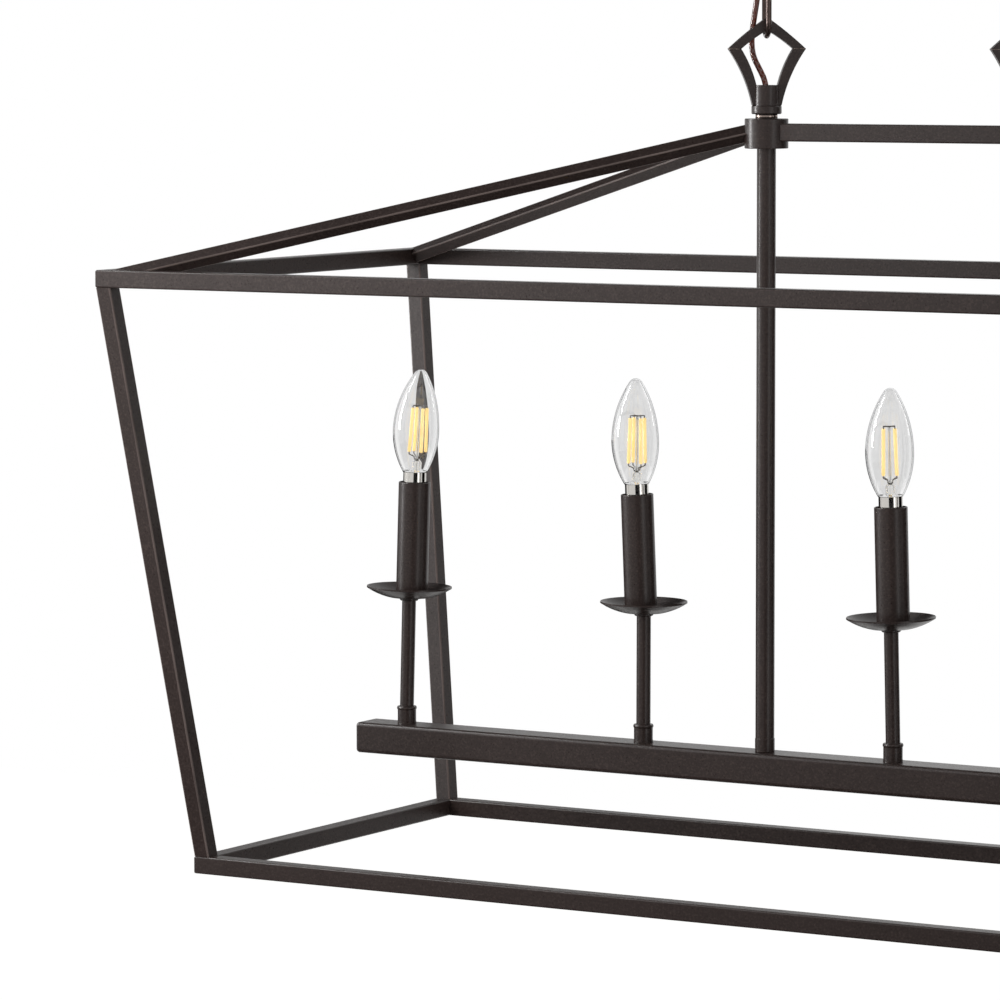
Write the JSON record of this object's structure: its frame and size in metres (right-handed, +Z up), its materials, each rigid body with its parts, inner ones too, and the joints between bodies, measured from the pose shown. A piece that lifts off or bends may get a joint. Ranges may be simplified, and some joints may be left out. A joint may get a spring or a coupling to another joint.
{
  "type": "linear lantern pendant light",
  "caption": "Linear open-cage lantern pendant in dark bronze square tube, tapered to the base, with candle lights on a central bar, hung by short chains from a ceiling canopy.",
  "frame": {"origin": "on the ceiling plane, midway between the two chains", "axes": "+X along the lantern's length, +Z up to the ceiling, -Y to the front"},
  "size_m": [1.0698, 0.4338, 0.7275],
  "materials": {
    "bronze": "satin powder coat",
    "chain_bronze": "gloss",
    "zinc_steel": "zinc plated",
    "black_phenolic": "matte",
    "brown_vinyl": "gloss",
    "clear_glass": "clear",
    "nickel": "polished nickel",
    "phosphor": "satin"
  },
  "bodies": {
    "canopy": {"canopy": "bronze", "ceiling_strap": "zinc_steel", "eye_bolts": "chain_bronze", "cord_bushing": "brown_vinyl"},
    "upper_chain_left": {"upper_link_left": "chain_bronze"},
    "upper_chain_right": {"upper_link_right": "chain_bronze"},
    "lower_chains": {"lower_links": "chain_bronze"},
    "lantern": {"arm_tubes": "bronze", "bar_cover": "bronze", "bottom_rail_back": "bronze", "bottom_rail_front": "bronze", "bottom_rail_left": "bronze", "bottom_rail_right": "bronze", "candle_sleeves": "bronze", "check_rings": "bronze", "cover_screws": "zinc_steel", "cup_collars": "bronze", "drip_cups": "bronze", "ferrules": "bronze", "hip_back_left": "bronze", "hip_back_right": "bronze", "hip_front_left": "bronze", "hip_front_right": "bronze", "hub_left": "bronze", "hub_right": "bronze", "lampholders": "black_phenolic", "leg_back_left": "bronze", "leg_back_right": "bronze", "leg_front_left": "bronze", "leg_front_right": "bronze", "light_bar": "bronze", "lock_nuts": "zinc_steel", "loop_left": "bronze", "loop_right": "bronze", "ridge_bar": "bronze", "stem_couplings": "bronze", "stem_left": "bronze", "stem_right": "bronze", "supply_cord": "brown_vinyl", "threaded_nipples": "zinc_steel", "top_rail_back": "bronze", "top_rail_front": "bronze", "top_rail_left": "bronze", "top_rail_right": "bronze", "wire_harness": "brown_vinyl"},
    "bulb_lift_1": {"bulb_base_1": "nickel"},
    "bulb_1": {"bulb_glass_1": "clear_glass", "bulb_filaments_1": "phosphor"},
    "bulb_lift_2": {"bulb_base_2": "nickel"},
    "bulb_2": {"bulb_glass_2": "clear_glass", "bulb_filaments_2": "phosphor"},
    "bulb_lift_3": {"bulb_base_3": "nickel"},
    "bulb_3": {"bulb_glass_3": "clear_glass", "bulb_filaments_3": "phosphor"},
    "bulb_lift_4": {"bulb_base_4": "nickel"},
    "bulb_4": {"bulb_glass_4": "clear_glass", "bulb_filaments_4": "phosphor"},
    "bulb_lift_5": {"bulb_base_5": "nickel"},
    "bulb_5": {"bulb_glass_5": "clear_glass", "bulb_filaments_5": "phosphor"}
  },
  "joints": [
    {"name": "left_chain_swing", "type": "hinge", "parent": "canopy", "child": "upper_chain_left", "pos_m": [-0.1031, 0, -0.04933], "axis": [0, 1, 0], "range_deg": [-15, 15], "deforming": ["supply_cord"]},
    {"name": "right_chain_swing", "type": "hinge", "parent": "canopy", "child": "upper_chain_right", "pos_m": [0.1031, 0, -0.04933], "axis": [0, 1, 0], "range_deg": [-15, 15]},
    {"name": "length_sway", "type": "hinge", "parent": "upper_chain_left", "child": "lower_chains", "pos_m": [-0.1031, 0, -0.08297], "axis": [0, 1, 0], "range_deg": [-15, 15], "deforming": ["supply_cord"]},
    {"name": "cross_sway", "type": "hinge", "parent": "lower_chains", "child": "lantern", "pos_m": [0, 0, -0.11584], "axis": [1, 0, 0], "range_deg": [-12, 12], "deforming": ["supply_cord"]},
    {"name": "bulb_1_lift", "type": "slide", "parent": "lantern", "child": "bulb_lift_1", "axis": [0.0239, 0.0144, 0.9996], "range_m": [0, 0.01778]},
    {"name": "bulb_1_turn", "type": "hinge", "parent": "bulb_lift_1", "child": "bulb_1", "pos_m": [-0.40148, 0.00339, -0.44293], "axis": [0.0239, 0.0144, 0.9996], "range_deg": [0, 2521]},
    {"name": "bulb_2_lift", "type": "slide", "parent": "lantern", "child": "bulb_lift_2", "axis": [-0.0299, -0.018, 0.9994], "range_m": [0, 0.01778]},
    {"name": "bulb_2_turn", "type": "hinge", "parent": "bulb_lift_2", "child": "bulb_2", "pos_m": [-0.20781, -0.00257, -0.44293], "axis": [-0.0299, -0.018, 0.9994], "range_deg": [0, 2521]},
    {"name": "bulb_3_lift", "type": "slide", "parent": "lantern", "child": "bulb_lift_3", "axis": [-0.0224, -0.0135, 0.9997], "range_m": [0, 0.01778]},
    {"name": "bulb_3_turn", "type": "hinge", "parent": "bulb_lift_3", "child": "bulb_3", "pos_m": [-0.00221, -0.00133, -0.44292], "axis": [-0.0224, -0.0135, 0.9997], "range_deg": [0, 2521]},
    {"name": "bulb_4_lift", "type": "slide", "parent": "lantern", "child": "bulb_lift_4", "axis": [0, 0, 1], "range_m": [0, 0.01778]},
    {"name": "bulb_4_turn", "type": "hinge", "parent": "bulb_lift_4", "child": "bulb_4", "pos_m": [0.20355, 0, -0.44287], "axis": [0, 0, 1], "range_deg": [0, 2521]},
    {"name": "bulb_5_lift", "type": "slide", "parent": "lantern", "child": "bulb_lift_5", "axis": [0, 0, 1], "range_m": [0, 0.01778]},
    {"name": "bulb_5_turn", "type": "hinge", "parent": "bulb_lift_5", "child": "bulb_5", "pos_m": [0.4071, 0, -0.44287], "axis": [0, 0, 1], "range_deg": [0, 2521]}
  ],
  "couplings": [
    {"joint": "left_chain_swing", "follows": "length_sway", "ratio": -1},
    {"joint": "right_chain_swing", "follows": "length_sway", "ratio": -1},
    {"joint": "bulb_1_turn", "follows": "bulb_1_lift", "rad_per_m": 2473.7},
    {"joint": "bulb_2_turn", "follows": "bulb_2_lift", "rad_per_m": 2473.7},
    {"joint": "bulb_3_turn", "follows": "bulb_3_lift", "rad_per_m": 2473.7},
    {"joint": "bulb_4_turn", "follows": "bulb_4_lift", "rad_per_m": 2473.7},
    {"joint": "bulb_5_turn", "follows": "bulb_5_lift", "rad_per_m": 2473.7}
  ]
}
